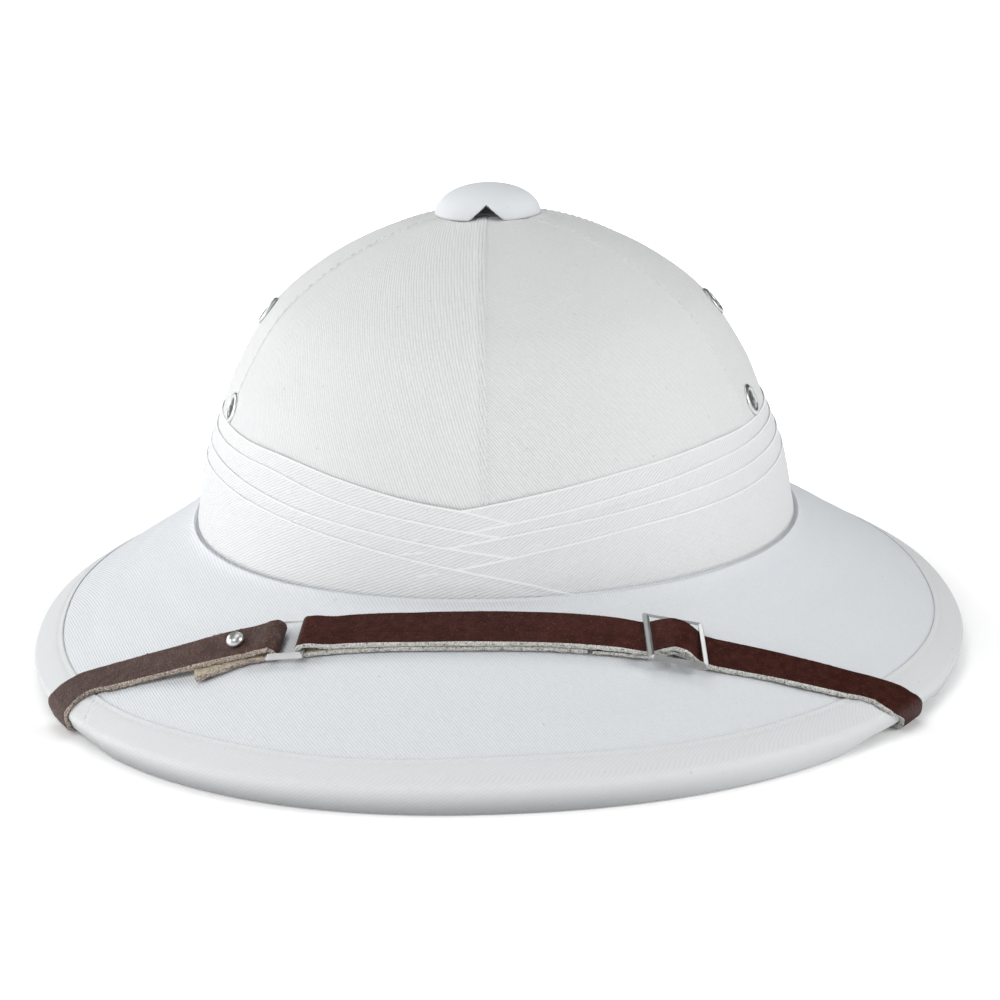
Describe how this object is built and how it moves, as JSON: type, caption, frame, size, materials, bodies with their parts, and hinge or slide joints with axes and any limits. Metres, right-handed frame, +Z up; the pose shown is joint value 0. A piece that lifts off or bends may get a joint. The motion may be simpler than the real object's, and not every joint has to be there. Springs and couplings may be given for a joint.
{
  "type": "pith helmet",
  "caption": "White cloth-covered sun helmet with a sloping brim, a pleated cloth band, a vent cap, metal eyelets and a leather chin strap laid over the brim.",
  "frame": {"origin": "on the floor under the middle of the hat's bounding box; the rim's foot stands at z = 0", "axes": "+Z up, -Y towards the front of the hat, +X to the right of someone who looks at its front"},
  "size_m": [0.289, 0.3414, 0.1441],
  "materials": {
    "white_twill": "matt cotton twill",
    "white_twill_band": "matt pleated cotton",
    "brown_leather": "waxed, slightly glossy",
    "satin_nickel": "satin"
  },
  "bodies": {
    "root": {"crown": "white_twill", "brim": "white_twill", "brim_binding": "white_twill", "vent_cap": "white_twill", "pugree": "white_twill_band", "strap_short": "brown_leather", "strap_long": "brown_leather", "strap_ring": "satin_nickel", "strap_slider": "satin_nickel", "strap_stud": "satin_nickel", "eyelet_left_front": "satin_nickel", "eyelet_left_rear": "satin_nickel", "eyelet_left_upper": "satin_nickel", "eyelet_right_front": "satin_nickel", "eyelet_right_rear": "satin_nickel", "eyelet_right_upper": "satin_nickel"}
  },
  "joints": []
}
